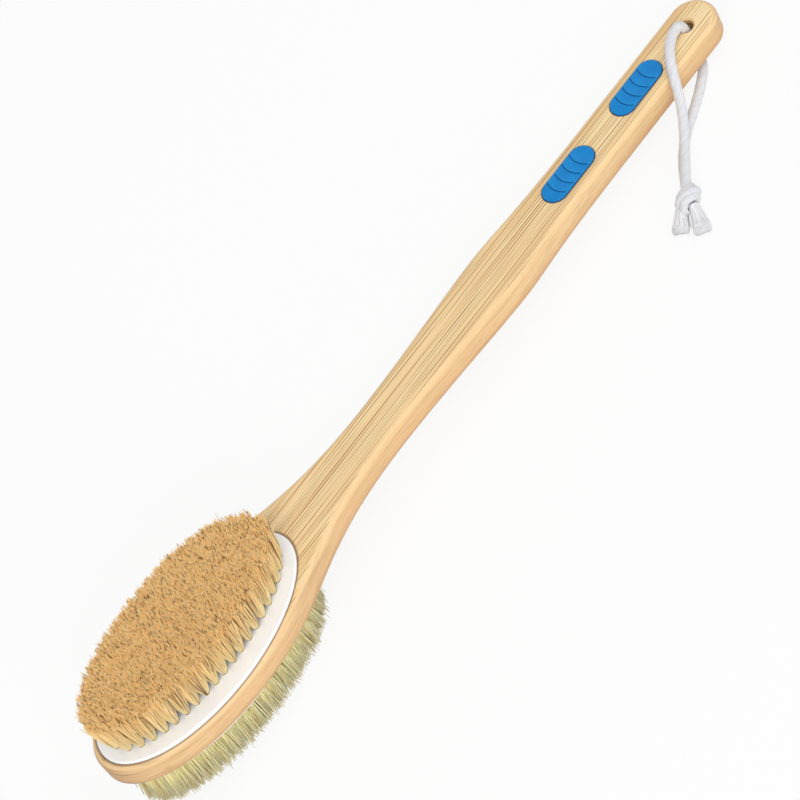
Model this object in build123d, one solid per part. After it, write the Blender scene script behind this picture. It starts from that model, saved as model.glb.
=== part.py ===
"""Body dry brush: a long bamboo handle with natural bristles on both sides of its head.

The brush is drawn flat, with X from the tip of the head to the end of the handle, Y across it and
Z out of its front face, z = 0 in the middle of the wood. It is then laid on a table, where it rests
on the heel of its back bristles and on the hanging cord, which lies on the table too. The part's
origin is on the table, under the centre of the brush without its cord.
"""

from math import asin, atan2, cos, degrees, hypot, pi, radians, sin, sqrt, tan
import os

from build123d import *

# ---------------------------------------------------------------- wooden body
OVERALL_LENGTH = 430.0
THICKNESS = 14.4
EDGE_RADIUS = 3.0
HEAD_LENGTH = 130.0            # full length of the ellipse that the head follows
HEAD_WIDTH = 62.0
SHOULDER_BEFORE_END = 28.0     # where the head leaves the ellipse, before the ellipse's end
SHOULDER_FLARE = 0.9
THROAT_BEFORE_END = 5.0
THROAT_WIDTH = 38.8
NECK_PAST_END = 16.0
NECK_WIDTH = 28.6
WAIST_PAST_END = 60.0
WAIST_WIDTH = 21.8
SWELL_FROM_END = 159.0
SWELL_WIDTH = 27.6
TAIL_FROM_END = 78.0           # from here to the end the handle keeps one width
TAIL_WIDTH = 22.8

# ---------------------------------------------------------------- bristle plates
RIM_AT_TIP = 3.6               # wood left round a plate
RIM_AT_SIDE = 1.6
RIM_AT_NECK = 7.2
PLATE_POCKET_DEPTH = 4.4
PLATE_PROUD = 1.0
PLATE_EDGE_RADIUS = 0.8
PLATE_GAP = 0.15               # glue gap round a plate

# ---------------------------------------------------------------- bristle tufts
FIELD_INSET_AT_ENDS = 6.6      # from the plate's edge to the outer row of tufts
FIELD_INSET_AT_SIDES = 9.8
ROW_SPACING = 6.5
TUFT_PITCH = 5.7
CENTRE_ROW_INSET = 24.5        # from the outer row's ends to the centre row's
ROW_LEANS = (3.0, 2.0, 1.0)    # degrees outwards, from the outer row in
FRONT_BRISTLE_LENGTH = 24.0
BACK_BRISTLE_LENGTH = 25.0
HEEL_PATCH = 3.5               # length of the back field's end that the table presses flat
TUFT_ROOT_RADIUS = 1.25
TUFT_TIP_RADIUS = 2.5
TUFT_HOLE_RADIUS = 1.5
TUFT_HOLE_DEPTH = 3.8
ANCHOR_SIZE = (2.2, 1.5, 0.4)  # flat staple wire at the bottom of each hole

# ---------------------------------------------------------------- rubber grips
GRIP_LENGTH = 31.6
GRIP_WIDTH = 12.4
GRIP_POCKET_DEPTH = 2.4
GRIP_PROUD = 0.8
GRIP_EDGE_RADIUS = 0.6
GRIP_GAP = 0.2
GRIP_FROM_END = {"lower_grip": 103.6, "upper_grip": 53.1}
RIB_COUNT = 4
RIB_FIRST = 6.0                # from the grip's end that faces the head
RIB_PITCH = 5.4
RIB_RADIUS = 9.5
RIB_HALF_ANGLE = 34.0
RIB_WIDTH = 0.5
RIB_DEPTH = 0.4

# ---------------------------------------------------------------- hanging hole and cord
HOLE_FROM_END = 16.0
HOLE_RADIUS = 3.6
HOLE_CHAMFER = 0.8
CORD_DIAMETER = 4.6
CORD_SEAT_SHIFT = 0.5          # the cord lies against the head side of its hole
CORD_ROOM_UNDER_HOLE = 6.8     # from the table up to the back face, at the hole
KNOT_RADIUS = 5.4
KNOT_CENTRE = (-65.8, -43.9, 5.4)
TAIL_RADIUS = 1.9

# Points of the cord, from the middle of its run through the hole, with z from the table.
FRONT_LEG_POINTS = [
    (0.0, 0.0, 14.0),
    (0.0, 0.0, 25.6),
    (-8.6, -1.4, 27.2),
    (-16.6, -6.2, 27.4),
    (-23.4, -12.2, 24.6),
    (-28.4, -16.4, 17.8),
    (-33.0, -19.2, 11.4),
    (-39.6, -23.6, 7.8),
    (-46.6, -28.7, 7.0),
    (-54.8, -34.9, 6.9),
    (-64.0, -42.4, 7.4),
]
BACK_LEG_POINTS = [
    (0.0, 0.0, 14.0),
    (0.0, 0.0, 2.4),
    (-5.6, -7.9, 2.4),
    (-14.0, -12.4, 2.4),
    (-24.0, -16.6, 2.4),
    (-32.6, -19.2, 2.4),
    (-39.2, -21.8, 2.4),
    (-45.4, -25.2, 2.4),
    (-53.8, -31.0, 2.4),
    (-64.0, -41.0, 2.7),
]
TAIL_A_POINTS = [(-69.6, -43.0, 4.2), (-74.6, -45.2, 2.6), (-80.2, -49.0, 2.1)]
TAIL_B_POINTS = [(-67.4, -47.4, 4.2), (-70.6, -52.2, 2.6), (-75.6, -58.0, 2.1)]

# ---------------------------------------------------------------- values worked out from these
HALF = THICKNESS / 2
PLATE_LENGTH = HEAD_LENGTH - RIM_AT_TIP - RIM_AT_NECK
PLATE_WIDTH = HEAD_WIDTH - 2 * RIM_AT_SIDE
PLATE_CENTRE = RIM_AT_TIP + PLATE_LENGTH / 2
FIELD_LENGTH = PLATE_LENGTH - 2 * FIELD_INSET_AT_ENDS
FIELD_WIDTH = PLATE_WIDTH - 2 * FIELD_INSET_AT_SIDES
PLATE_FACE = HALF + PLATE_PROUD
HOLE_AT = OVERALL_LENGTH - HOLE_FROM_END
ABOVE = (Align.CENTER, Align.CENTER, Align.MIN)
BELOW = (Align.CENTER, Align.CENTER, Align.MAX)
ROOM = 1000.0


def flat_pose():
    """Return the place of the flat brush on the table: its tilt and its lift."""
    back_tip = -(PLATE_FACE + BACK_BRISTLE_LENGTH)
    heel = PLATE_CENTRE + FIELD_LENGTH / 2 - HEEL_PATCH
    reach = HOLE_AT - heel
    depth = -HALF - back_tip
    tilt = atan2(depth, reach) - asin(CORD_ROOM_UNDER_HOLE / hypot(depth, reach))
    lift = heel * sin(tilt) - back_tip * cos(tilt)
    return Location((0, 0, lift), (0, degrees(tilt), 0))


def half_outline():
    """Return the edge of the brush on its +Y side, from the head's tip to the handle's end."""
    head = EllipticalCenterArc((HEAD_LENGTH / 2, 0), HEAD_LENGTH / 2, HEAD_WIDTH / 2, 90, arc_size=90)
    tail_start = OVERALL_LENGTH - TAIL_FROM_END
    shoulder_out = 1 - 2 * SHOULDER_BEFORE_END / HEAD_LENGTH
    shoulder = HEAD_WIDTH / 2 * sqrt(1 - shoulder_out**2) + SHOULDER_FLARE
    neck = Spline(
        (HEAD_LENGTH / 2, HEAD_WIDTH / 2),
        (HEAD_LENGTH - SHOULDER_BEFORE_END, shoulder),
        (HEAD_LENGTH - THROAT_BEFORE_END, THROAT_WIDTH / 2),
        (HEAD_LENGTH + NECK_PAST_END, NECK_WIDTH / 2),
        (HEAD_LENGTH + WAIST_PAST_END, WAIST_WIDTH / 2),
        (OVERALL_LENGTH - SWELL_FROM_END, SWELL_WIDTH / 2),
        (tail_start, TAIL_WIDTH / 2),
        tangents=[(1, 0), (1, 0)],
    )
    end_centre = OVERALL_LENGTH - TAIL_WIDTH / 2
    tail = Line((tail_start, TAIL_WIDTH / 2), (end_centre, TAIL_WIDTH / 2))
    end = CenterArc((end_centre, 0), TAIL_WIDTH / 2, 0, 90)
    return [head, neck, tail, end]


def plate_blank(depth, grown=0.0):
    """Return an elliptical slab, its front face at z = 0, going down by depth."""
    outline = Ellipse(PLATE_LENGTH / 2 + grown, PLATE_WIDTH / 2 + grown)
    return Pos(PLATE_CENTRE, 0, -depth) * extrude(outline, depth)


def grip_blank(centre, depth, grown=0.0):
    """Return a slab with round ends, its front face at z = 0, going down by depth."""
    outline = SlotOverall(GRIP_LENGTH + 2 * grown, GRIP_WIDTH + 2 * grown)
    return Pos(centre, 0, -depth) * extrude(outline, depth)


def bamboo_body():
    """Return the wooden body with its pockets and its hanging hole."""
    upper = half_outline()
    lower = [mirror(edge, about=Plane.XZ) for edge in upper]
    body = extrude(make_face(upper + lower), HALF, both=True)
    faces = body.faces().sort_by(Axis.Z)
    body = fillet(faces[0].edges() + faces[-1].edges(), EDGE_RADIUS)
    pocket = plate_blank(PLATE_POCKET_DEPTH, PLATE_GAP)
    body -= Pos(0, 0, HALF) * pocket
    body -= mirror(Pos(0, 0, HALF) * pocket, about=Plane.XY)
    for from_end in GRIP_FROM_END.values():
        centre = OVERALL_LENGTH - from_end
        body -= Pos(0, 0, HALF) * grip_blank(centre, GRIP_POCKET_DEPTH, GRIP_GAP)
    body -= Pos(HOLE_AT, 0, 0) * Cylinder(HOLE_RADIUS, THICKNESS)
    lips = body.edges().filter_by(GeomType.CIRCLE)
    lips = lips.filter_by(lambda edge: abs(edge.radius - HOLE_RADIUS) < 0.01)
    return chamfer(lips, HOLE_CHAMFER)


def ellipse_places(length, width, pitch):
    """Return (x, y, outward angle) of equal steps round an ellipse, from its handle end."""
    steps = 720
    long_axis = length / 2
    short_axis = width / 2
    angles = [2 * pi * i / steps for i in range(steps + 1)]
    points = [(long_axis * cos(a), short_axis * sin(a)) for a in angles]
    run = [0.0]
    for start, stop in zip(points, points[1:]):
        run.append(run[-1] + hypot(stop[0] - start[0], stop[1] - start[1]))
    count = int(run[-1] / pitch)
    places = []
    index = 0
    for number in range(count):
        while run[index] < run[-1] * number / count:
            index += 1
        x, y = points[index]
        outward = atan2(y / short_axis**2, x / long_axis**2)
        places.append((x, y, degrees(outward)))
    return places


def tuft_rows():
    """Return the rows of tufts, from the outer one in, as places on the bristle plate's face."""
    rows = []
    for number, lean in enumerate(ROW_LEANS):
        inset = 2 * ROW_SPACING * number
        places = ellipse_places(FIELD_LENGTH - inset, FIELD_WIDTH - inset, TUFT_PITCH)
        rows.append([Pos(x, y) * Rot(0, 0, out) * Rot(0, lean, 0) for x, y, out in places])
    count = int((FIELD_LENGTH - 2 * CENTRE_ROW_INSET) / TUFT_PITCH)
    start = -count * TUFT_PITCH / 2
    rows.append([Pos(start + TUFT_PITCH * i, 0) for i in range(count + 1)])
    return [[Pos(PLATE_CENTRE, 0) * place for place in row] for row in rows]


def bristle_plate(rows):
    """Return the front bristle plate with its tuft holes."""
    plate = Pos(0, 0, PLATE_FACE) * plate_blank(PLATE_POCKET_DEPTH + PLATE_PROUD)
    plate = fillet(plate.faces().sort_by(Axis.Z)[-1].edges(), PLATE_EDGE_RADIUS)
    hole = Pos(0, 0, -TUFT_HOLE_DEPTH) * Cylinder(TUFT_HOLE_RADIUS, 2 * TUFT_HOLE_DEPTH, align=ABOVE)
    return plate - [Pos(0, 0, PLATE_FACE) * place * hole for row in rows for place in row]


def tuft(bristle_length):
    """Return one tuft on its own axis, with the plate's face at z = 0, left long for trimming."""
    root = TUFT_HOLE_DEPTH - ANCHOR_SIZE[2]
    spread = (TUFT_TIP_RADIUS - TUFT_ROOT_RADIUS) / (root + bristle_length)
    spare = 2.0
    tip_radius = TUFT_TIP_RADIUS + spread * spare
    height = root + bristle_length + spare
    return Pos(0, 0, -root) * Cone(TUFT_ROOT_RADIUS, tip_radius, height, align=ABOVE)


def tuft_row(row, bristle_length):
    """Return the tufts of one row, trimmed to one height above the plate."""
    blank = tuft(bristle_length)
    below_trim = Pos(0, 0, PLATE_FACE + bristle_length) * Box(ROOM, ROOM, ROOM, align=BELOW)
    return [(Pos(0, 0, PLATE_FACE) * place * blank) & below_trim for place in row]


def anchor_row(row):
    """Return the staple wires of one row, each on the bottom of its tuft hole."""
    wire = Pos(0, 0, -TUFT_HOLE_DEPTH) * Box(*ANCHOR_SIZE, align=ABOVE)
    return [Pos(0, 0, PLATE_FACE) * place * wire for place in row]


def grip(from_end):
    """Return a rubber grip with its curved ribs, seated in its pocket."""
    centre = OVERALL_LENGTH - from_end
    pad = grip_blank(centre, GRIP_POCKET_DEPTH + GRIP_PROUD)
    pad = fillet(pad.faces().sort_by(Axis.Z)[-1].edges(), GRIP_EDGE_RADIUS)
    for number in range(RIB_COUNT):
        crest = centre - GRIP_LENGTH / 2 + RIB_FIRST + RIB_PITCH * number
        arc = CenterArc((crest + RIB_RADIUS, 0), RIB_RADIUS, 180 - RIB_HALF_ANGLE, 2 * RIB_HALF_ANGLE)
        pad -= extrude(trace(arc, RIB_WIDTH), -RIB_DEPTH)
    return Pos(0, 0, HALF + GRIP_PROUD) * pad


def bend_radii(points):
    """Return the radius of each bend of a cord's route, as large as its two runs allow."""
    radii = []
    for before, corner, after in zip(points, points[1:], points[2:]):
        run_in = Vector(*corner) - Vector(*before)
        run_out = Vector(*after) - Vector(*corner)
        half_turn = radians(run_in.get_angle(run_out)) / 2
        radii.append(0.45 * min(run_in.length, run_out.length) / tan(half_turn))
    return radii


def cord_run(name, points, radius, hole):
    """Return one stretch of cord: straight runs joined by tangent arcs."""
    route = [(hole.X + x, hole.Y + y, z) for x, y, z in points]
    radii = bend_radii(route)
    path = FilletPolyline(*route, radius=radii)
    start = Plane(origin=path @ 0, z_dir=path % 0)
    run = sweep(start * Circle(radius), path=path)
    expected = pi * radius**2 * path.length
    print(name, "radii", [round(r, 1) for r in radii], "length", round(path.length, 1))
    print(name, "volume", round(run.volume, 1), "section x length", round(expected, 1))
    return run


def save(name, shapes):
    """Write one node."""
    solids = [solid for shape in shapes for solid in shape.solids()]
    result = solids[0] if len(solids) == 1 else Compound(solids)
    export_step(result, f"parts/{name}.step")


def flat_pieces():
    """Return every piece but the cord, by node name, on the flat brush."""
    rows = tuft_rows()
    plate = bristle_plate(rows)
    pieces = {
        "bamboo_body": [bamboo_body()],
        "front_plate": [plate],
        "back_plate": [mirror(plate, about=Plane.XY)],
    }
    for name, from_end in GRIP_FROM_END.items():
        pieces[name] = [grip(from_end)]
    for number, row in enumerate(rows, start=1):
        anchors = anchor_row(row)
        back_tufts = tuft_row(row, BACK_BRISTLE_LENGTH)
        pieces[f"front_tufts_row_{number}"] = tuft_row(row, FRONT_BRISTLE_LENGTH)
        pieces[f"back_tufts_row_{number}"] = [mirror(t, about=Plane.XY) for t in back_tufts]
        pieces[f"front_anchors_row_{number}"] = anchors
        pieces[f"back_anchors_row_{number}"] = [mirror(a, about=Plane.XY) for a in anchors]
    return pieces


def above_table(shape):
    """Return a piece with what the table presses flat taken off."""
    if shape.bounding_box().min.Z >= 0:
        return shape
    return shape & Box(ROOM, ROOM, ROOM, align=ABOVE)


def main():
    os.makedirs("parts", exist_ok=True)
    pose = flat_pose()
    laid = {
        name: [above_table(pose * shape) for shape in shapes]
        for name, shapes in flat_pieces().items()
    }
    box = Compound([shape for shapes in laid.values() for shape in shapes]).bounding_box()
    centring = Pos(-box.center().X, -box.center().Y, 0)
    for name, shapes in laid.items():
        save(name, [centring * shape for shape in shapes])

    hole = (centring * pose * Pos(HOLE_AT, 0, 0)).position - Vector(CORD_SEAT_SHIFT, 0, 0)
    cord_radius = CORD_DIAMETER / 2
    save("cord_front_leg", [cord_run("front leg", FRONT_LEG_POINTS, cord_radius, hole)])
    save("cord_back_leg", [cord_run("back leg", BACK_LEG_POINTS, cord_radius, hole)])
    save("cord_tail_a", [cord_run("tail a", TAIL_A_POINTS, TAIL_RADIUS, hole)])
    save("cord_tail_b", [cord_run("tail b", TAIL_B_POINTS, TAIL_RADIUS, hole)])
    knot = Pos(hole.X, hole.Y, 0) * Pos(*KNOT_CENTRE) * Sphere(KNOT_RADIUS)
    save("cord_knot", [knot])
    print("tilt", pose.orientation, "cord axis", hole, "box", box.size)


main()
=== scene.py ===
"""Looks of the body dry brush: bamboo, moulded plates, bristle tufts, rubber grips and a cotton cord.

Everything is in the row frame, in metres. Sizes written in millimetres go through MM. The brush is
described flat, with X from the head's tip and Z out of its front face, and BRUSH lays it on the table.
"""

from math import atan2, pi, radians

import bpy
import numpy as np
from mathutils import Matrix, Vector


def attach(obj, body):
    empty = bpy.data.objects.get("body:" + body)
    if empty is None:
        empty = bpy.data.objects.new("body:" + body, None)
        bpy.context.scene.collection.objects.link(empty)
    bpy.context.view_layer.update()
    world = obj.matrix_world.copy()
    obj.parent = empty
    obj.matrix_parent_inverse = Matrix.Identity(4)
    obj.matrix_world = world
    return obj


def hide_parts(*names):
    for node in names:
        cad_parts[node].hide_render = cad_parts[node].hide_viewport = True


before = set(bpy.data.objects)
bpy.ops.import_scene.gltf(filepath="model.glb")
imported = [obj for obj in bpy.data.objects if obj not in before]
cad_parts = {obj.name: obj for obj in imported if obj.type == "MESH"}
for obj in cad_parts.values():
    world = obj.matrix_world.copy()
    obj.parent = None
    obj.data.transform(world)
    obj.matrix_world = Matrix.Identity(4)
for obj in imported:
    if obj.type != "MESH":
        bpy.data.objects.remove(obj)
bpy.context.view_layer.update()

MM = 0.001
STRIP_PITCH = 1.18 * MM

# ---------------------------------------------------------------- the brush, as the CAD has it (mm)
TILT = radians(3.64357)
BRUSH_AT = (-214.565, 0.0, 40.295)
HALF = 7.2
PLATE_CENTRE = 63.2
PLATE_FACE = 8.2
PLATE_HALF_LENGTH = 59.6
PLATE_HALF_WIDTH = 29.4
FIELD_LENGTH = 106.0
FIELD_WIDTH = 39.2
ROW_SPACING = 6.5
TUFT_PITCH = 5.7
CENTRE_ROW_INSET = 24.5
ROW_LEANS = (3.0, 2.0, 1.0)
FRONT_LENGTH = 24.0
BACK_LENGTH = 25.0
ROOT_SPREAD = 1.05          # how far a tuft's bristles stand from its middle, at the plate
HOLE_X = 198.098
CORD_DIAMETER = 4.6
GRIP_CENTRES = (326.4, 376.9)
GRIP_HALF_LENGTH = 15.8
GRIP_HALF_STRAIGHT = 9.6    # half of a grip's length between its round ends
GRIP_LINE = (6.9, 6.4)      # painted shade of the gap round a grip, a dark line from this far out to this far
PLATE_LINE = (1.030, 1.008)  # painted shade of the gap round a plate, a dark line as shares of the plate's own ellipse
LINE_SHARE = 0.75
RIB_FIRST = 6.0
RIB_PITCH = 5.4
RIB_RADIUS = 9.5

BRUSH = Matrix.Translation([v * MM for v in BRUSH_AT]) @ Matrix.Rotation(TILT, 4, "Y")

# ---------------------------------------------------------------- cord routes (m, from the hole's cord axis)
FRONT_LEG = [
    (0.0, 0.0, 0.0140),
    (0.0, 0.0, 0.0256),
    (-0.0086, -0.0014, 0.0272),
    (-0.0166, -0.0062, 0.0274),
    (-0.0234, -0.0122, 0.0246),
    (-0.0284, -0.0164, 0.0178),
    (-0.0330, -0.0192, 0.0114),
    (-0.0396, -0.0236, 0.0078),
    (-0.0466, -0.0287, 0.0070),
    (-0.0548, -0.0349, 0.0069),
    (-0.0640, -0.0424, 0.0074),
]
BACK_LEG = [
    (0.0, 0.0, 0.0140),
    (0.0, 0.0, 0.0024),
    (-0.0056, -0.0079, 0.0024),
    (-0.0140, -0.0124, 0.0024),
    (-0.0240, -0.0166, 0.0024),
    (-0.0326, -0.0192, 0.0024),
    (-0.0392, -0.0218, 0.0024),
    (-0.0454, -0.0252, 0.0024),
    (-0.0538, -0.0310, 0.0024),
    (-0.0640, -0.0410, 0.0027),
]
TAIL_A = [(-0.0696, -0.0430, 0.0042), (-0.0746, -0.0452, 0.0026), (-0.0802, -0.0490, 0.0021)]
TAIL_B = [(-0.0674, -0.0474, 0.0042), (-0.0706, -0.0522, 0.0026), (-0.0756, -0.0580, 0.0021)]
KNOT_CENTRE = (-0.0658, -0.0439, 0.0054)
KNOT_CORD_RADIUS = 0.0020
KNOT_TWIST = 0.009
KNOT_TURNS = 2.7
TAIL_RADIUS = 0.0019
TAIL_FIBRES = 260
TAIL_FIBRE_RADIUS = 0.00027

# ---------------------------------------------------------------- bristles: number in a tuft, reach at the tips, radius
FRONT_BRISTLES = (230, 4.0, 0.205)
BACK_BRISTLES = (215, 4.4, 0.165)

# ---------------------------------------------------------------- heights kept clear of the table (m)
UNDER_BRISTLES = 0.00025
UNDER_CORD = 0.0002
UNDER_FRAYED_ENDS = 0.0003

# ---------------------------------------------------------------- the white studio
FLOOR_SIZE = 60.0
FLOOR_GREY = 0.86
FLOOR_GLOW = 0.86
WORLD_LIGHT = 0.55


def add_camera():
    """The camera, above the brush and off its near side."""
    data = bpy.data.cameras.new("camera")
    data.sensor_width = 36.0
    data.lens = 158.74
    camera = bpy.data.objects.new("camera", data)
    right = Vector((0.57626, -0.72457, -0.37807))
    up = Vector((0.79452, 0.38826, 0.46691))
    back = Vector((-0.19152, -0.56943, 0.79942))
    turned = Matrix((right, up, back)).transposed().to_4x4()
    turned.translation = (-0.30186, -0.85768, 1.23359)
    camera.matrix_world = turned
    bpy.context.scene.collection.objects.link(camera)
    bpy.context.scene.camera = camera


# ---------------------------------------------------------------- helpers for nodes
def linear(red, green, blue):
    """A colour written as 0 to 255 in sRGB, as a shader takes it."""
    parts = [v / 255 for v in (red, green, blue)]
    return (*(v / 12.92 if v <= 0.04045 else ((v + 0.055) / 1.055) ** 2.4 for v in parts), 1.0)


def node(tree, kind, inputs=None, **settings):
    """A new shader node. inputs takes plain values and sockets to link."""
    made = tree.nodes.new("ShaderNode" + kind)
    for key, value in settings.items():
        setattr(made, key, value)
    for key, value in (inputs or {}).items():
        if isinstance(value, bpy.types.NodeSocket):
            tree.links.new(value, made.inputs[key])
        else:
            made.inputs[key].default_value = value
    return made


def material(name, roughness):
    """A new Principled material: the material, its tree and its shader."""
    made = bpy.data.materials.new(name)
    made.use_nodes = True
    shader = made.node_tree.nodes["Principled BSDF"]
    shader.inputs["Roughness"].default_value = roughness
    return made, made.node_tree, shader


def ramp(tree, factor, stops):
    """A colour ramp with (position, colour) stops."""
    made = node(tree, "ValToRGB", {"Fac": factor})
    elements = made.color_ramp.elements
    while len(elements) < len(stops):
        elements.new(0.5)
    for element, (position, colour) in zip(elements, stops):
        element.position = position
        element.color = colour
    return made.outputs["Color"]


def mix(tree, factor, a, b, blend="MIX"):
    """Colour b over colour a."""
    made = node(tree, "Mix", {0: factor, 6: a, 7: b}, data_type="RGBA", blend_type=blend)
    return made.outputs[2]


def stretched(tree, vector, scale, detail=2.0, distortion=0.0):
    """Noise on coordinates multiplied by scale, so that a small number gives long streaks."""
    scaled = node(tree, "VectorMath", {0: vector, 1: scale}, operation="MULTIPLY")
    inputs = {"Vector": scaled.outputs[0], "Scale": 1.0, "Detail": detail, "Distortion": distortion}
    return node(tree, "TexNoise", inputs).outputs[0]


def steps(tree, value, low, high, to_low=0.0, to_high=1.0):
    """value from low..high to to_low..to_high, clamped."""
    inputs = {"Value": value, "From Min": low, "From Max": high, "To Min": to_low, "To Max": to_high}
    return node(tree, "MapRange", inputs, interpolation_type="SMOOTHSTEP").outputs[0]


def bump(tree, shader, height, distance, strength=0.5):
    """Fine relief on a shader, distance metres deep."""
    made = node(tree, "Bump", {"Height": height, "Distance": distance, "Strength": strength})
    tree.links.new(made.outputs[0], shader.inputs["Normal"])


def flat_coordinates(tree):
    """Object coordinates laid back onto the flat brush."""
    place = node(tree, "TexCoord")
    inputs = {
        "Vector": place.outputs["Object"],
        "Location": [v * MM for v in BRUSH_AT],
        "Rotation": (0, TILT, 0),
    }
    return node(tree, "Mapping", inputs, vector_type="TEXTURE").outputs[0], place.outputs["Normal"]


def maths(tree, operation, *values):
    """The result of one operation on sockets or numbers."""
    return node(tree, "Math", dict(enumerate(values)), operation=operation).outputs[0]


def gap_shade_lines(tree, axes):
    """Share of the painted gap shade, a dark line in the wood: just round both plates, and round the grips on the front
    only.
    """
    x, y = axes.outputs["X"], axes.outputs["Y"]
    on_front = steps(tree, axes.outputs["Z"], 0.0005, 0.0015)
    long_way = maths(tree, "DIVIDE", maths(tree, "SUBTRACT", x, PLATE_CENTRE * MM), PLATE_HALF_LENGTH * MM)
    short_way = maths(tree, "DIVIDE", y, PLATE_HALF_WIDTH * MM)
    reach = maths(tree, "SQRT", maths(
        tree, "ADD", maths(tree, "POWER", long_way, 2.0), maths(tree, "POWER", short_way, 2.0)))
    shares = [steps(tree, reach, *PLATE_LINE, 0.0, LINE_SHARE)]
    outer, inner = (reach_mm * MM for reach_mm in GRIP_LINE)
    for centre in GRIP_CENTRES:
        past = maths(tree, "ABSOLUTE", maths(tree, "SUBTRACT", x, centre * MM))
        past = maths(tree, "SUBTRACT", past, GRIP_HALF_STRAIGHT * MM)
        past = maths(tree, "MAXIMUM", past, 0.0)
        away = maths(tree, "SQRT", maths(
            tree, "ADD", maths(tree, "POWER", past, 2.0), maths(tree, "POWER", y, 2.0)))
        line = steps(tree, away, outer, inner, 0.0, LINE_SHARE)
        shares.append(maths(tree, "MULTIPLY", line, on_front))
    both = maths(tree, "MAXIMUM", shares[0], shares[1])
    return maths(tree, "MAXIMUM", both, shares[2])


# ---------------------------------------------------------------- materials
def bamboo():
    """Laminated bamboo: fine dark strip lines on its faces, smoother bands round its sides. Light and shade are painted
    onto the sides, and shade into the gaps round the plates and grips.
    """
    made, tree, shader = material("bamboo", 0.5)
    flat, normal = flat_coordinates(tree)
    axes = node(tree, "SeparateXYZ", {0: flat})
    facing = node(tree, "SeparateXYZ", {0: normal})
    up_down = maths(tree, "ABSOLUTE", facing.outputs["Z"])
    end_on = maths(tree, "ABSOLUTE", facing.outputs["X"])

    strips = stretched(tree, flat, (3.0, 190.0, 0.0), 1.0)
    drift = stretched(tree, flat, (5.0, 160.0, 0.0), 2.0)
    count = maths(tree, "MULTIPLY", axes.outputs["Y"], 1 / STRIP_PITCH)
    count = maths(tree, "ADD", count, maths(tree, "MULTIPLY", drift, 2.6))
    off_line = maths(tree, "ABSOLUTE", maths(tree, "SUBTRACT", maths(tree, "FRACT", count), 0.5))
    patches = steps(tree, stretched(tree, flat, (11.0, 900.0, 0.0), 2.0), 0.36, 0.60, 0.10, 0.95)
    lines = maths(tree, "MULTIPLY", steps(tree, off_line, 0.24, 0.06), patches)
    fine = stretched(tree, flat, (16.0, 2700.0, 0.0), 1.0)
    face = ramp(tree, strips, [
        (0.32, linear(234, 198, 144)), (0.50, linear(246, 217, 163)), (0.70, linear(252, 228, 178))])
    face = mix(tree, steps(tree, fine, 0.52, 0.36, 0.0, 0.45), face, linear(208, 162, 110))
    face = mix(tree, steps(tree, lines, 0.0, 1.0, 0.0, 0.92), face, linear(142, 98, 56))

    bands = stretched(tree, flat, (5.0, 5.0, 120.0), 1.0)
    side_fine = stretched(tree, flat, (60.0, 60.0, 1500.0), 3.0)
    side = ramp(tree, bands, [
        (0.30, linear(222, 178, 126)), (0.55, linear(231, 190, 137)), (0.75, linear(238, 202, 150))])
    side = mix(tree, steps(tree, side_fine, 0.50, 0.34, 0.0, 0.55), side, linear(200, 150, 102))
    # painted shade: the sides darken towards their bottom edge, where the roundover turns away from the light
    low = steps(tree, axes.outputs["Z"], -0.001, -0.0068, 0.0, 0.75)
    side = mix(tree, low, side, linear(190, 138, 90))
    # painted light: the sides lighten towards the front face, where they turn up to the light
    high = steps(tree, axes.outputs["Z"], 0.0035, 0.0068, 0.0, 0.55)
    side = mix(tree, high, side, linear(246, 216, 166))
    grain = stretched(tree, flat, (26.0, 26.0, 430.0), 3.0, 1.2)
    waves = maths(tree, "MULTIPLY", steps(tree, grain, 0.47, 0.36, 0.0, 0.8), end_on)
    ends = maths(tree, "MULTIPLY", maths(tree, "POWER", end_on, 3.0), 0.75)
    side = mix(tree, ends, side, linear(180, 138, 94))
    side = mix(tree, waves, side, linear(120, 80, 48))

    colour = mix(tree, steps(tree, up_down, 0.90, 0.99), side, face)
    # painted shade: the thin gaps round the plates and grips are darkened as a brown line
    colour = mix(tree, gap_shade_lines(tree, axes), colour, linear(112, 74, 46))
    tree.links.new(colour, shader.inputs["Base Color"])
    gloss = steps(tree, fine, 0.2, 0.8, 0.58, 0.42)
    tree.links.new(gloss, shader.inputs["Roughness"])
    bump(tree, shader, fine, 0.00006)
    return made


def plate_plastic():
    """Glossy white moulding with a faint cool unevenness."""
    made, tree, shader = material("white_moulding", 0.16)
    flat, _ = flat_coordinates(tree)
    cloud = stretched(tree, flat, (40.0, 60.0, 60.0), 2.0)
    colour = ramp(tree, cloud, [(0.3, linear(245, 246, 250)), (0.7, linear(250, 251, 254))])
    tree.links.new(colour, shader.inputs["Base Color"])
    fine = stretched(tree, flat, (900.0, 900.0, 900.0), 1.0)
    gloss = steps(tree, cloud, 0.3, 0.7, 0.20, 0.14)
    tree.links.new(gloss, shader.inputs["Roughness"])
    bump(tree, shader, fine, 0.00001, 0.3)
    return made


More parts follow.
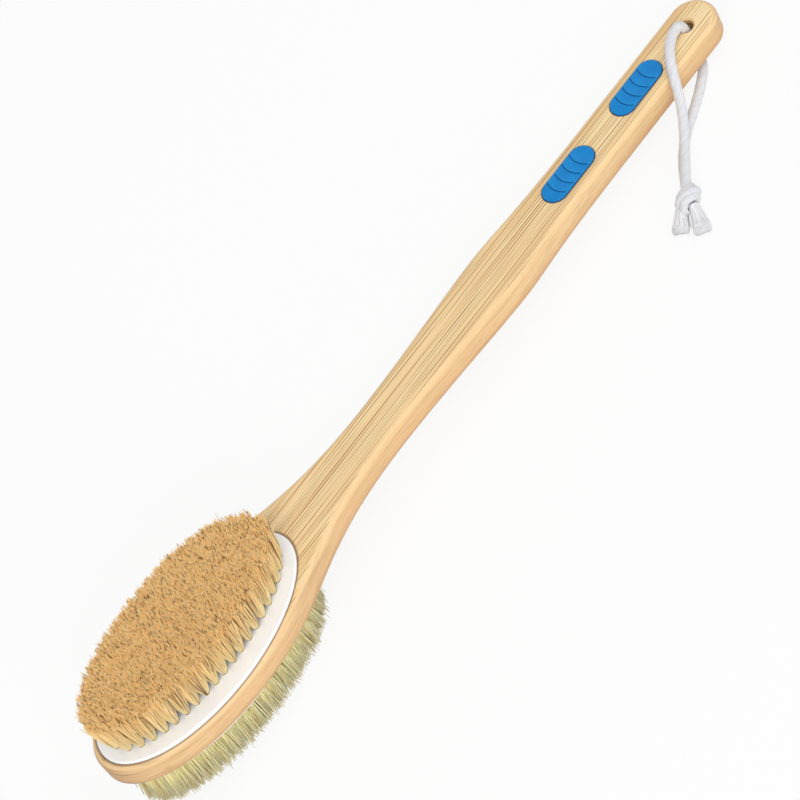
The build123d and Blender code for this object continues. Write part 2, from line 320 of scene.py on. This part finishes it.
def grip_rubber():
    """Saturated blue rubber. Its height rises from each curved rib to the next, like scales, and its colour lightens
    with it as a painted highlight. Painted shade darkens its lowest parts.
    """
    made, tree, shader = material("blue_rubber", 0.40)
    flat, _ = flat_coordinates(tree)
    axes = node(tree, "SeparateXYZ", {0: flat})
    x, y = axes.outputs["X"], axes.outputs["Y"]
    nearer = maths(tree, "LESS_THAN", x, sum(GRIP_CENTRES) / 2 * MM)
    span = (GRIP_CENTRES[1] - GRIP_CENTRES[0]) * MM
    first = (GRIP_CENTRES[1] - GRIP_HALF_LENGTH + RIB_FIRST) * MM
    along = maths(tree, "SUBTRACT", maths(tree, "ADD", x, maths(tree, "MULTIPLY", nearer, span)), first)
    sag = maths(tree, "SUBTRACT", (RIB_RADIUS * MM) ** 2, maths(tree, "POWER", y, 2.0))
    sag = maths(tree, "SUBTRACT", RIB_RADIUS * MM, maths(tree, "SQRT", maths(tree, "MAXIMUM", sag, 0.0)))
    phase = maths(tree, "DIVIDE", maths(tree, "SUBTRACT", along, sag), RIB_PITCH * MM)
    scale = maths(tree, "FRACT", phase)
    started, ended = maths(tree, "GREATER_THAN", phase, 0.0), maths(tree, "LESS_THAN", phase, 4.0)
    within = maths(tree, "MULTIPLY", started, ended)
    scale = maths(tree, "MULTIPLY", maths(tree, "SUBTRACT", 1.0, scale), within)
    cloud = stretched(tree, flat, (120.0, 160.0, 160.0), 3.0)
    colour = ramp(tree, cloud, [(0.3, linear(2, 120, 192)), (0.7, linear(8, 134, 206))])
    # painted highlight: each scale lightens with its height, as its slope catches the light
    colour = mix(tree, maths(tree, "MULTIPLY", scale, 0.30), colour, linear(44, 154, 220))
    # painted shade: the rubber darkens where it lies low, in the grooves and at its edges
    groove_shade = steps(tree, axes.outputs["Z"], (HALF + 0.72) * MM, (HALF + 0.45) * MM, 0.0, 0.65)
    colour = mix(tree, groove_shade, colour, linear(8, 62, 118))
    tree.links.new(colour, shader.inputs["Base Color"])
    grain = stretched(tree, flat, (2600.0, 2600.0, 2600.0), 2.0)
    shader.inputs["Specular IOR Level"].default_value = 0.25
    tree.links.new(steps(tree, grain, 0.3, 0.7, 0.38, 0.52), shader.inputs["Roughness"])
    height = maths(tree, "ADD", scale, maths(tree, "MULTIPLY", grain, 0.06))
    bump(tree, shader, height, 0.0005, 0.6)
    return made


def attribute(tree, name):
    """A number that the mesh carries at each vertex."""
    return node(tree, "Attribute", attribute_name=name).outputs["Fac"]


def bristle(name, root_shade, root_shade_end, base, middle, tip, dark, dark_share, lit):
    """Bristle fibre: colours from the roots to the tips, with painted shade at the roots, and some bristles darker and
    some lit up.
    """
    made, tree, shader = material(name, 0.55)
    # painted shade: the bristles start dark at the plate, where they stand in the shade of the tufts, and reach their
    # own colour further up
    along = ramp(tree, attribute(tree, "along"), [
        (root_shade_end * 0.3, root_shade), (root_shade_end, base), (0.45, middle), (1.0, tip)])
    tone = attribute(tree, "tone")
    colour = mix(tree, steps(tree, tone, dark_share, dark_share * 0.5, 0.0, 0.85), along, dark)
    light = mix(tree, steps(tree, tone, 0.45, 0.8, 0.0, 0.55), colour, lit)
    tree.links.new(light, shader.inputs["Base Color"])
    return made


def anchor_steel():
    """Drawn wire of the staples under the tufts."""
    made, tree, shader = material("staple_steel", 0.3)
    shader.inputs["Metallic"].default_value = 1.0
    flat, _ = flat_coordinates(tree)
    drawn = stretched(tree, flat, (3000.0, 200.0, 3000.0), 2.0)
    colour = ramp(tree, drawn, [(0.3, linear(165, 168, 170)), (0.7, linear(205, 207, 208))])
    tree.links.new(colour, shader.inputs["Base Color"])
    return made


def cotton():
    """Soft twisted cotton: fibres run along each strand, with painted shade darkening the valleys between the strands.
    """
    made, tree, shader = material("cotton", 0.85)
    shader.inputs["Sheen Weight"].default_value = 0.3
    # painted shade in the valleys between the strands, lighter on the strands' crowns
    valley_shade = steps(tree, attribute(tree, "lobe"), 0.0, 0.55, 0.0, 1.0)
    place = node(tree, "CombineXYZ", {
        "X": attribute(tree, "around"), "Y": attribute(tree, "along"), "Z": 0.0})
    fibres = stretched(tree, place.outputs[0], (9.0, 260.0, 1.0), 3.0)
    colour = ramp(tree, valley_shade, [(0.0, linear(220, 220, 224)), (1.0, linear(229, 230, 233))])
    shade = ramp(tree, fibres, [(0.3, linear(222, 221, 225)), (0.65, linear(255, 255, 255))])
    colour = mix(tree, 0.7, colour, shade, "MULTIPLY")
    tree.links.new(colour, shader.inputs["Base Color"])
    bump(tree, shader, fibres, 0.00025, 0.6)
    return made


# ---------------------------------------------------------------- mesh helpers
def new_piece(name, vertices, faces, look, body, attributes=None):
    """A mesh piece that rides on a body. attributes are one number for each vertex."""
    mesh = bpy.data.meshes.new(name)
    mesh.from_pydata(vertices.tolist(), [], faces)
    for key, values in (attributes or {}).items():
        data = mesh.attributes.new(key, "FLOAT", "POINT").data
        data.foreach_set("value", np.ascontiguousarray(values, dtype=np.float32))
    mesh.polygons.foreach_set("use_smooth", [True] * len(mesh.polygons))
    mesh.materials.append(look)
    piece = bpy.data.objects.new(name, mesh)
    bpy.context.scene.collection.objects.link(piece)
    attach(piece, body)
    return piece


def route_points(points, name):
    """Points along the smooth NURBS line of a cord's route, in the row frame."""
    curve = bpy.data.curves.new(name + "_line", "CURVE")
    curve.dimensions = "3D"
    curve.resolution_u = 24
    spline = curve.splines.new("NURBS")
    spline.points.add(len(points) - 1)
    for point, (x, y, z) in zip(spline.points, points):
        point.co = (HOLE_X * MM + x, y, z, 1.0)
    spline.order_u = 3
    spline.use_endpoint_u = True
    line = bpy.data.objects.new(name + "_line", curve)
    mesh = bpy.data.meshes.new_from_object(line)
    found = np.array([v.co[:] for v in mesh.vertices])
    bpy.data.objects.remove(line)
    bpy.data.meshes.remove(mesh)
    return found


def respaced(points, step):
    """The same line, at even steps, with the distance along it."""
    run = np.r_[0.0, np.cumsum(np.linalg.norm(np.diff(points, axis=0), axis=1))]
    count = max(3, int(run[-1] / step))
    at = np.linspace(0.0, run[-1], count)
    return np.stack([np.interp(at, run, points[:, k]) for k in range(3)], axis=1), at


def frames_along(points):
    """Two directions across the line at each point, carried along it without twisting."""
    ahead = np.gradient(points, axis=0)
    ahead /= np.linalg.norm(ahead, axis=1)[:, None]
    side = np.cross(ahead[0], (0.3, 0.8, 0.5))
    sides = []
    for direction in ahead:
        side = side - direction * side.dot(direction)
        side = side / np.linalg.norm(side)
        sides.append(side)
    sides = np.array(sides)
    return sides, np.cross(ahead, sides)


def grid_faces(rows, columns):
    """Quads between rings of points, each ring closed."""
    r, c = np.meshgrid(np.arange(rows - 1), np.arange(columns), indexing="ij")
    after = (c + 1) % columns
    this, following = r * columns, (r + 1) * columns
    return np.stack([this + c, this + after, following + after, following + c], -1).reshape(-1, 4)


STRANDS = 3
TWIST_PITCH = 0.0170
ROUND = 48                  # points round a tube
TUBE_STEP = 0.00035


def twisted_tube(name, points, radius, look, body, ends=None, twist=TWIST_PITCH, strands=STRANDS):
    """A tube of twisted strands along a line: the piece and its line. ends gives its radius's share along it."""
    line, at = respaced(points, TUBE_STEP)
    side, up = frames_along(line)
    around = np.linspace(0, 2 * pi, ROUND, endpoint=False)
    turn = around[None, :] - 2 * pi * at[:, None] / twist
    lobe = np.abs(np.cos(turn * strands / 2)) ** 0.7
    wobble = 0.015 * np.sin(at[:, None] * 900 + 3 * np.sin(around)[None, :])
    share = np.ones(len(at)) if ends is None else ends(at / at[-1])
    reach = radius * share[:, None] * (0.955 + 0.05 * lobe + wobble)
    rings = (
        line[:, None]
        + side[:, None] * (np.cos(around)[None, :] * reach)[..., None]
        + up[:, None] * (np.sin(around)[None, :] * reach)[..., None]
    )
    rings[..., 2] = np.maximum(rings[..., 2], UNDER_CORD)
    vertices = rings.reshape(-1, 3)
    faces = grid_faces(len(at), ROUND)
    middle = len(vertices)
    vertices = np.vstack([vertices, line[:1], line[-1:]])
    index = np.arange(ROUND)
    start = np.stack([(index + 1) % ROUND, index, np.full(ROUND, middle)], -1)
    last = (len(at) - 1) * ROUND
    stop = np.stack([last + index, last + (index + 1) % ROUND, np.full(ROUND, middle + 1)], -1)
    numbers = {
        "lobe": np.r_[lobe.ravel(), 1.0, 1.0],
        "around": np.r_[np.mod(turn, 2 * pi).ravel(), 0.0, 0.0],
        "along": np.r_[np.repeat(at, ROUND), 0.0, at[-1]],
    }
    faces = faces.tolist() + start.tolist() + stop.tolist()
    piece = new_piece(name, vertices, faces, look, body, numbers)
    return piece, line


def fibres(name, starts, paths, radius, look, slot, body, tones, alongs,
           across=((1, 0, 0), (0, 1, 0)), sides=3):
    """Many thin tapered fibres in one mesh.

    paths is (fibres, points, 3), radius is one number for each point, and across is the two directions
    square to the way the fibres run.
    """
    count, length, _ = paths.shape
    phase = starts[:, None] + np.arange(sides)[None, :] * 2 * pi / sides
    first, second = np.asarray(across, dtype=float)
    ring = np.cos(phase)[..., None] * first + np.sin(phase)[..., None] * second
    rings = paths[:, :, None, :] + ring[:, None] * np.asarray(radius)[None, :, None, None]
    vertices = rings.reshape(-1, 3)
    one = grid_faces(length, sides)
    firsts = (np.arange(count) * length * sides)[:, None, None]
    faces = (one[None] + firsts).reshape(-1, 4).tolist()
    cap = (length - 1) * sides + np.arange(sides)
    faces += (cap[None] + firsts[:, :, 0]).tolist()
    numbers = {
        "tone": np.repeat(tones, length * sides),
        "along": np.tile(np.repeat(alongs, sides), count),
    }
    return new_piece(name, vertices, faces, look, body, numbers)


# ---------------------------------------------------------------- bristles
def ellipse_places(length, width):
    """(x, y, outward angle) of equal steps round an ellipse, from its handle end."""
    a = np.linspace(0, 2 * pi, 721)
    x, y = length / 2 * np.cos(a), width / 2 * np.sin(a)
    run = np.r_[0.0, np.cumsum(np.hypot(np.diff(x), np.diff(y)))]
    count = int(run[-1] / TUFT_PITCH)
    at = np.searchsorted(run, run[-1] * np.arange(count) / count)
    return [(x[i], y[i], atan2(y[i] / width**2, x[i] / length**2)) for i in at]


def tuft_places():
    """Rows of (x, y, outward angle, lean) on the flat brush, from the outer row in."""
    rows = []
    for number, lean in enumerate(ROW_LEANS):
        inset = 2 * ROW_SPACING * number
        places = ellipse_places(FIELD_LENGTH - inset, FIELD_WIDTH - inset)
        rows.append([(PLATE_CENTRE + x, y, out, radians(lean)) for x, y, out in places])
    count = int((FIELD_LENGTH - 2 * CENTRE_ROW_INSET) / TUFT_PITCH)
    first = PLATE_CENTRE - count * TUFT_PITCH / 2
    rows.append([(first + TUFT_PITCH * i, 0.0, 0.0, 0.0) for i in range(count + 1)])
    return rows


HEIGHTS = np.array([0.0, 0.14, 0.38, 1.0])        # shares of a bristle's height at which it has points
BRISTLE_TAPER = np.array([0.8, 1.0, 1.0, 0.92])
SUNK = 1.0                                        # how far under the plate's face a bristle starts (mm)


def tuft_row(name, row, length, bristles, look, slot, seed, front):
    """One row of tufts: each bristle fans out of its hole and is trimmed near one height.

    bristles is their number in a tuft, the reach of a tuft at its tips and the radius of one bristle.
    The front ones lean less and get shorter towards the handle's end of the field.
    """
    per_tuft, tip_radius, bristle_radius = bristles
    rng = np.random.default_rng(seed)
    places = np.repeat(np.array(row), per_tuft, axis=0)
    count = len(places)
    reach = np.sqrt(rng.random(count))
    angle = rng.random(count) * 2 * pi
    turned = np.cos(places[:, 2]), np.sin(places[:, 2])
    outward, sideways = np.cos(angle) * reach * 0.95, np.sin(angle) * reach
    across = np.stack([
        turned[0] * outward - turned[1] * sideways, turned[1] * outward + turned[0] * sideways], -1)
    stray = (rng.random(count) < 0.12) * rng.random(count)
    neck_end = np.clip((places[:, 0] - PLATE_CENTRE) / (FIELD_LENGTH / 2), 0.0, 1.0) * front
    lean = np.tan(places[:, 3]) * (1 - 0.9 * neck_end**4)
    out = np.stack([np.cos(places[:, 2]), np.sin(places[:, 2])], -1) * lean[:, None]
    top = length + np.clip(rng.normal(0.0, 0.60, count), -1.8, 1.0) + stray * 0.7
    top -= 0.5 * reach**3 + 3.6 * neck_end**7
    wild = np.clip(rng.normal(0.0, 1.5, (count, 2)), -2.2, 2.2)
    sway = np.clip(rng.normal(0.0, 0.80, (count, 2)), -1.6, 1.6) + wild * stray[:, None]
    paths = np.empty((count, len(HEIGHTS), 3))
    for k, share in enumerate(HEIGHTS):
        height = -SUNK + (top + SUNK) * share
        spread = ROOT_SPREAD + (tip_radius - ROOT_SPREAD) * (1 - (1 - share) ** 2.4)
        flat = places[:, :2] + across * spread + out * height[:, None] + sway * share**1.6
        paths[:, k, :2] = flat
        paths[:, k, 2] = PLATE_FACE + height
    if not front:
        paths[:, :, 2] *= -1
    paths = paths @ np.array(BRUSH.to_3x3()).T * MM + np.array(BRUSH.translation)
    paths[:, :, 2] = np.maximum(paths[:, :, 2], UNDER_BRISTLES)
    radius = BRISTLE_TAPER * bristle_radius * MM
    starts = rng.random(count) * 2 * pi
    return fibres(name, starts, paths, radius, look, slot, "brush", rng.random(count), HEIGHTS)


# ---------------------------------------------------------------- cord pieces
def knot_line():
    """The knot's line: turns of cord tilted across the legs, tucked in at both ends."""
    centre = Vector((HOLE_X * MM + KNOT_CENTRE[0], KNOT_CENTRE[1], KNOT_CENTRE[2]))
    along = Vector((-0.80, -0.60, 0.0)).normalized()
    across = Vector((0.60, -0.80, 0.0)).normalized()
    up = Vector((0.0, 0.0, 1.0))
    turns = np.linspace(0.0, 1.0, 220)
    points = []
    for share in turns:
        angle = 2 * pi * KNOT_TURNS * share - 0.6
        ease = min(1.0, share / 0.12, (1 - share) / 0.12)
        swell = 1.06 - 0.42 * (2 * share - 1) ** 2
        reach = (0.0008 + 0.0030 * ease) * swell
        travel = (share - 0.47) * 0.0074 - 0.0024 * np.cos(angle)
        sideways, height = reach * np.cos(angle), 0.86 * reach * np.sin(angle)
        points.append(centre + along * travel + across * sideways + up * height)
    return np.array([p[:] for p in points])


def flared(share):
    """How many times its own radius a cut end is wide, along it."""
    return 1.15 + 0.80 * share


def tail_core(name, points, look):
    """The soft middle of a cut end, which widens as the strands come apart."""
    line = route_points(points, name)
    core, _ = twisted_tube(name, line, TAIL_RADIUS, look, "hanging_cord", flared, twist=0.06, strands=11)
    return core


def frayed_tail(name, points, look, seed):
    """The loose fibres of a cut end, which lie round its soft middle."""
    rng = np.random.default_rng(seed)
    line, at = respaced(route_points(points, name), 0.0008)
    picks = np.linspace(0, len(line) - 1, 7).round().astype(int)
    line, share = line[picks], at[picks] / at[-1]
    side, up = frames_along(line)
    count = TAIL_FIBRES
    reach = 0.86 + 0.20 * rng.random(count)
    angle = rng.random(count) * 2 * pi
    size = TAIL_RADIUS * flared(share)
    sway = rng.normal(0.0, 0.0003, (count, 2))
    across = (np.cos(angle) * reach)[:, None] * size[None] + sway[:, :1] * share[None] ** 2
    upward = (np.sin(angle) * reach)[:, None] * size[None] + sway[:, 1:] * share[None] ** 2
    paths = line[None] + side[None] * across[..., None] + up[None] * upward[..., None]
    ahead = (line[-1] - line[-2]) / np.linalg.norm(line[-1] - line[-2])
    paths += ahead * (rng.normal(-0.0005, 0.0008, count)[:, None] * share[None] ** 3)[..., None]
    paths[:, :, 2] = np.maximum(paths[:, :, 2], UNDER_FRAYED_ENDS)
    radius = np.full(len(picks), TAIL_FIBRE_RADIUS)
    radius[-1] = 0.00010
    middle = len(picks) // 2
    starts = rng.random(count) * 2 * pi
    return fibres(name, starts, paths, radius, look, "cotton_cord", "hanging_cord", rng.random(count), share,
                  across=(side[middle], up[middle]))


def loose_cotton():
    """The cotton of the frayed ends: one even white, a little greyer on some fibres."""
    made, tree, shader = material("loose_cotton", 0.9)
    tone = attribute(tree, "tone")
    colour = ramp(tree, tone, [(0.0, linear(238, 238, 241)), (1.0, linear(247, 247, 249))])
    tree.links.new(colour, shader.inputs["Base Color"])
    return made


# ---------------------------------------------------------------- studio
def seen_directly(tree):
    """1 for rays from the camera and for those that go on through gloss or glass, and 0 for the rest."""
    rays = node(tree, "LightPath").outputs
    seen = maths(tree, "MAXIMUM", rays["Is Camera Ray"], rays["Is Glossy Ray"])
    return maths(tree, "MAXIMUM", seen, rays["Is Transmission Ray"])


def add_floor():
    """A floor that looks white and still takes a soft shadow."""
    bpy.ops.mesh.primitive_plane_add(size=FLOOR_SIZE, location=(0, 0, 0))
    floor = bpy.context.object
    floor.name = "floor"
    made = bpy.data.materials.new("floor")
    made.use_nodes = True
    tree = made.node_tree
    tree.nodes.clear()
    seen = seen_directly(tree)
    share = maths(tree, "MULTIPLY", seen, FLOOR_GLOW)
    matt = node(tree, "BsdfDiffuse", {"Color": (FLOOR_GREY, FLOOR_GREY, FLOOR_GREY, 1.0)})
    white = node(tree, "Emission", {"Color": (1.0, 1.0, 1.0, 1.0), "Strength": 1.0})
    both = node(tree, "MixShader", {0: share, 1: matt.outputs[0], 2: white.outputs[0]})
    node(tree, "OutputMaterial", {"Surface": both.outputs[0]})
    floor.data.materials.append(made)


def add_world():
    """White all round, but dimmer as a light than as a backdrop."""
    world = bpy.data.worlds.new("studio")
    bpy.context.scene.world = world
    world.use_nodes = True
    tree = world.node_tree
    tree.nodes.clear()
    seen = seen_directly(tree)
    strength = node(tree, "MapRange", {"Value": seen, "To Min": WORLD_LIGHT, "To Max": 1.0})
    white = node(tree, "Background", {"Color": (1.0, 1.0, 1.0, 1.0), "Strength": strength.outputs[0]})
    node(tree, "OutputWorld", {"Surface": white.outputs[0]})


def add_lamp(name, place, target, size, power):
    """A square lamp at a place, turned to a target."""
    data = bpy.data.lights.new(name, "AREA")
    data.size = size
    data.energy = power
    lamp = bpy.data.objects.new(name, data)
    lamp.location = place
    lamp.rotation_euler = (Vector(target) - Vector(place)).to_track_quat("-Z", "Y").to_euler()
    bpy.context.scene.collection.objects.link(lamp)


# ---------------------------------------------------------------- the scene
add_camera()
cotton_look = cotton()
front_line = route_points(FRONT_LEG, "front")
back_line = route_points(BACK_LEG, "back")
front_leg, front_path = twisted_tube(
    "hanging_cord_front", front_line, CORD_DIAMETER / 2 * MM, cotton_look, "hanging_cord")
back_leg, back_path = twisted_tube(
    "hanging_cord_back", back_line, CORD_DIAMETER / 2 * MM, cotton_look, "hanging_cord")
knot, _ = twisted_tube("overhand_knot", knot_line(), KNOT_CORD_RADIUS, cotton_look, "hanging_cord", twist=KNOT_TWIST)
loose = loose_cotton()
tail_a = frayed_tail("frayed_end_a", TAIL_A, loose, 51)
tail_b = frayed_tail("frayed_end_b", TAIL_B, loose, 52)
core_a = tail_core("tail_core_a", TAIL_A, cotton_look)
core_b = tail_core("tail_core_b", TAIL_B, cotton_look)
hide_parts("cord_front_leg")
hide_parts("cord_back_leg")
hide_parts("cord_knot")
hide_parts("cord_tail_a")
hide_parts("cord_tail_b")

# bristle colours: base, middle, tip, dark ones, their share, lit ones
BOAR = (linear(248, 230, 174), linear(255, 224, 160), linear(255, 210, 136), linear(118, 66, 30), 0.15,
        linear(255, 236, 184))
# the painted shade at the bristles' roots comes first: short and light on the outer row, long and dark on the inner
# rows, whose roots lie in the shade between the tufts
outer_look = bristle("boar_bristle", linear(176, 132, 82), 0.06, *BOAR)
shaded_inner_look = bristle("boar_bristle_inner", linear(78, 46, 24), 0.34, *BOAR)
# the back bristles start with a short painted shade at their roots too
back_look = bristle("soft_bristle", linear(170, 150, 90), 0.07, linear(255, 243, 188), linear(255, 246, 184),
                    linear(255, 247, 204), linear(228, 196, 120), 0.15, linear(255, 249, 206))
for number, row in enumerate(tuft_places(), start=1):
    front_look = outer_look if number == 1 else shaded_inner_look
    front = tuft_row(f"front_bristles_row_{number}", row, FRONT_LENGTH, FRONT_BRISTLES, front_look,
                     "natural_bristle", 10 + number, True)
    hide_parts(f"front_tufts_row_{number}")
    back = tuft_row(f"back_bristles_row_{number}", row, BACK_LENGTH, BACK_BRISTLES, back_look,
                    "soft_bristle", 30 + number, False)
    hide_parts(f"back_tufts_row_{number}")

looks = {"bamboo_body": bamboo()}
plastic = plate_plastic()
rubber = grip_rubber()
steel = anchor_steel()
looks.update({name: plastic for name in ("front_plate", "back_plate")})
looks.update({name: rubber for name in ("lower_grip", "upper_grip")})
looks.update({name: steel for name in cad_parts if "anchors" in name})
for name, look in looks.items():
    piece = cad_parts[name]
    piece.data.materials.clear()
    piece.data.materials.append(look)

add_floor()
add_world()
add_lamp("key", (-0.9, -1.3, 1.9), (0.0, 0.0, 0.0), 1.3, 24.0)
add_lamp("low", (-0.5, -1.7, 0.35), (-0.1, 0.0, 0.03), 0.9, 6.5)
add_lamp("fill", (1.3, -0.3, 1.6), (0.0, 0.0, 0.0), 1.2, 8.0)
bpy.context.scene.view_settings.view_transform = "Standard"
